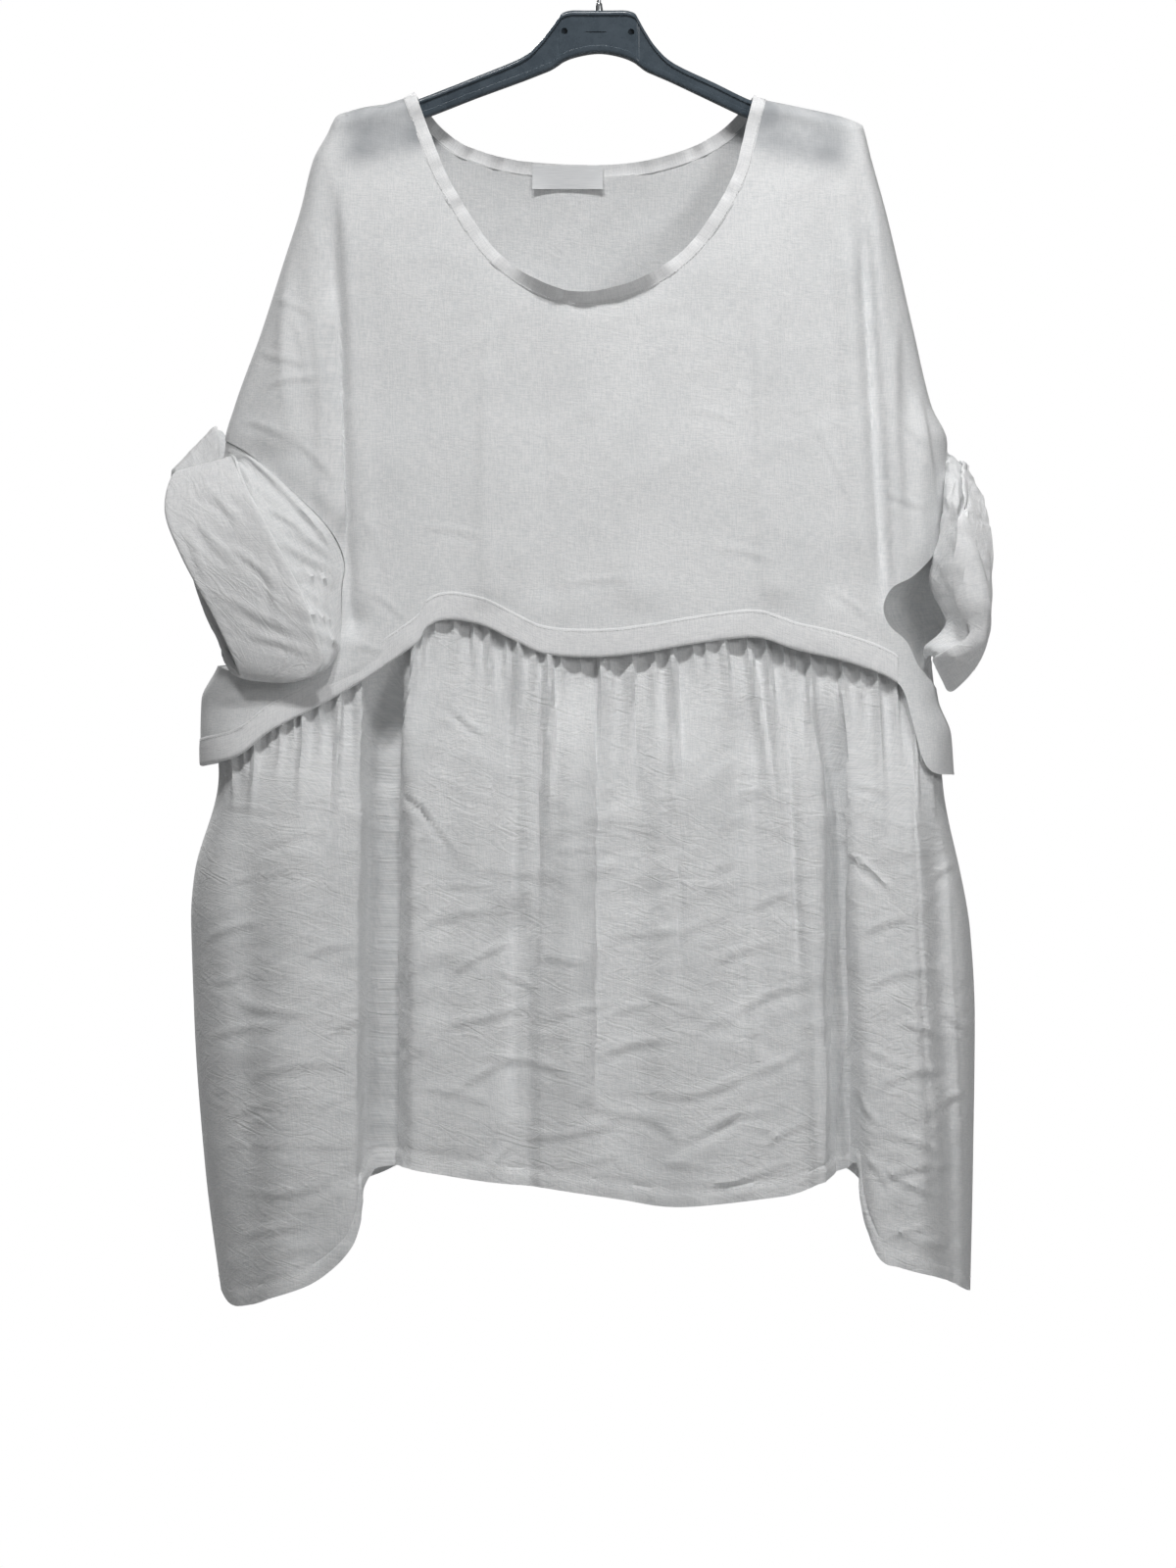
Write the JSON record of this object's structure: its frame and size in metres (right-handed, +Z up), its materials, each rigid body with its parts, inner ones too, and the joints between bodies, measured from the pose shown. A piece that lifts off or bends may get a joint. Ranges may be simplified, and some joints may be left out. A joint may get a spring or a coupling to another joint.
{
  "type": "tunic top on a hanger",
  "caption": "Wide round-neck linen tunic top with turned-up short sleeves and a gathered skirt part, hanging on a plastic shop hanger.",
  "frame": {"origin": "inner crown of the hanger's hook, where a rail holds it", "axes": "+Z up, along the garment's length; +X to the viewer's right along the hanger; the front faces -Y"},
  "size_m": [0.6551, 0.2103, 1.099],
  "materials": {
    "washed_linen": "matt",
    "doubled_linen": "matt",
    "woven_label": "satin",
    "hanger_plastic": "satin",
    "plated_steel": "gloss"
  },
  "bodies": {
    "root": {"back_bodice": "washed_linen", "back_hem_band": "doubled_linen", "back_skirt": "washed_linen", "front_bodice": "washed_linen", "front_hem_band": "doubled_linen", "front_skirt": "washed_linen", "hanger_body": "hanger_plastic", "hanger_hook": "plated_steel", "left_cuff": "doubled_linen", "left_sleeve": "washed_linen", "neck_binding": "doubled_linen", "neck_label": "woven_label", "right_cuff": "doubled_linen", "right_sleeve": "washed_linen"}
  },
  "joints": []
}
